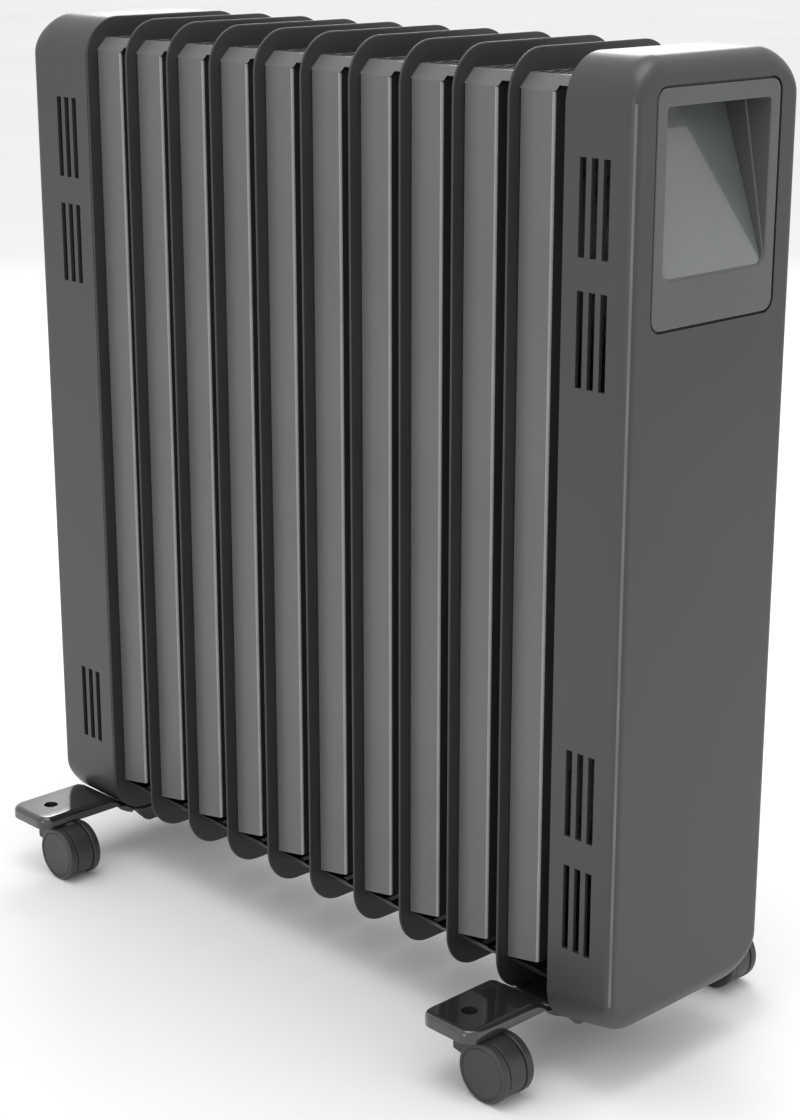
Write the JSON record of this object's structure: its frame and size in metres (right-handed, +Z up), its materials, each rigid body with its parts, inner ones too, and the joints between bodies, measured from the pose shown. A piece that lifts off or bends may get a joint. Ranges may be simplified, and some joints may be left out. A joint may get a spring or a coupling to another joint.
{
  "type": "oil filled radiator heater",
  "caption": "Upright oil filled radiator heater: a row of flat steel fins between two slotted end covers, with a sloping touch panel and swivel casters on two cross feet.",
  "frame": {"origin": "on the floor under the middle of the heater", "axes": "+X along the row of fins towards the control end, +Y to the rear, +Z up"},
  "size_m": [0.5675, 0.268, 0.635],
  "materials": {
    "fin_paint": "dark grey powder coat",
    "channel_paint": "mid grey satin powder coat",
    "cover_plastic": "dark grey moulded plastic",
    "bezel_plastic": "grey semi-gloss plastic",
    "panel_glass": "grey glossy touch panel",
    "circuit_board": "green solder mask",
    "zinc_steel": "zinc plated",
    "black_screw": "blackened screw",
    "brass": "plain",
    "element_tube": "oxidised steel tube",
    "black_rubber": "matte",
    "pale_plastic": "plain",
    "foot_paint": "dark gloss enamel",
    "caster_plastic": "dark grey nylon"
  },
  "bodies": {
    "radiator": {"fin_1": "fin_paint", "fin_2": "fin_paint", "fin_3": "fin_paint", "fin_4": "fin_paint", "fin_5": "fin_paint", "fin_6": "fin_paint", "fin_7": "fin_paint", "fin_8": "fin_paint", "fin_9": "fin_paint", "fin_10": "fin_paint", "end_fin": "fin_paint", "oil_collars": "fin_paint", "header_caps": "fin_paint", "bottom_grilles": "fin_paint", "channel_1": "channel_paint", "channel_2": "channel_paint", "channel_3": "channel_paint", "channel_4": "channel_paint", "channel_5": "channel_paint", "channel_6": "channel_paint", "channel_7": "channel_paint", "channel_8": "channel_paint", "channel_9": "channel_paint", "channel_10": "channel_paint", "top_grilles": "channel_paint", "end_cover": "cover_plastic", "control_housing": "cover_plastic", "control_bezel": "bezel_plastic", "touch_panel": "panel_glass", "display_board": "circuit_board", "power_board": "circuit_board", "back_plate": "zinc_steel", "element_flange": "zinc_steel", "foot_u_bolts": "zinc_steel", "foot_wing_nuts": "zinc_steel", "cover_screws": "black_screw", "oil_filler_plug": "brass", "heating_element": "element_tube", "flange_gasket": "black_rubber", "cord_gland": "black_rubber", "thermal_cutout": "pale_plastic", "tip_over_switch": "pale_plastic", "left_foot": "foot_paint", "right_foot": "foot_paint"},
    "swivel_1": {"caster_stem_1": "black_screw", "caster_hood_1": "caster_plastic"},
    "wheels_1": {"caster_wheels_1": "caster_plastic", "caster_axle_1": "zinc_steel"},
    "swivel_2": {"caster_stem_2": "black_screw", "caster_hood_2": "caster_plastic"},
    "wheels_2": {"caster_wheels_2": "caster_plastic", "caster_axle_2": "zinc_steel"},
    "swivel_3": {"caster_stem_3": "black_screw", "caster_hood_3": "caster_plastic"},
    "wheels_3": {"caster_wheels_3": "caster_plastic", "caster_axle_3": "zinc_steel"},
    "swivel_4": {"caster_stem_4": "black_screw", "caster_hood_4": "caster_plastic"},
    "wheels_4": {"caster_wheels_4": "caster_plastic", "caster_axle_4": "zinc_steel"}
  },
  "joints": [
    {"name": "caster_swivel_1", "type": "hinge", "parent": "radiator", "child": "swivel_1", "pos_m": [-0.2487, -0.111, 0.045], "axis": [0, 0, 1], "continuous": true},
    {"name": "wheel_spin_1", "type": "hinge", "parent": "swivel_1", "child": "wheels_1", "pos_m": [-0.2247, -0.111, 0.02], "axis": [0, 1, 0], "continuous": true},
    {"name": "caster_swivel_2", "type": "hinge", "parent": "radiator", "child": "swivel_2", "pos_m": [-0.2487, 0.111, 0.045], "axis": [0, 0, 1], "continuous": true},
    {"name": "wheel_spin_2", "type": "hinge", "parent": "swivel_2", "child": "wheels_2", "pos_m": [-0.2247, 0.111, 0.02], "axis": [0, 1, 0], "continuous": true},
    {"name": "caster_swivel_3", "type": "hinge", "parent": "radiator", "child": "swivel_3", "pos_m": [0.2013, -0.111, 0.045], "axis": [0, 0, 1], "continuous": true},
    {"name": "wheel_spin_3", "type": "hinge", "parent": "swivel_3", "child": "wheels_3", "pos_m": [0.2253, -0.111, 0.02], "axis": [0, 1, 0], "continuous": true},
    {"name": "caster_swivel_4", "type": "hinge", "parent": "radiator", "child": "swivel_4", "pos_m": [0.2013, 0.111, 0.045], "axis": [0, 0, 1], "continuous": true},
    {"name": "wheel_spin_4", "type": "hinge", "parent": "swivel_4", "child": "wheels_4", "pos_m": [0.2253, 0.111, 0.02], "axis": [0, 1, 0], "continuous": true}
  ]
}
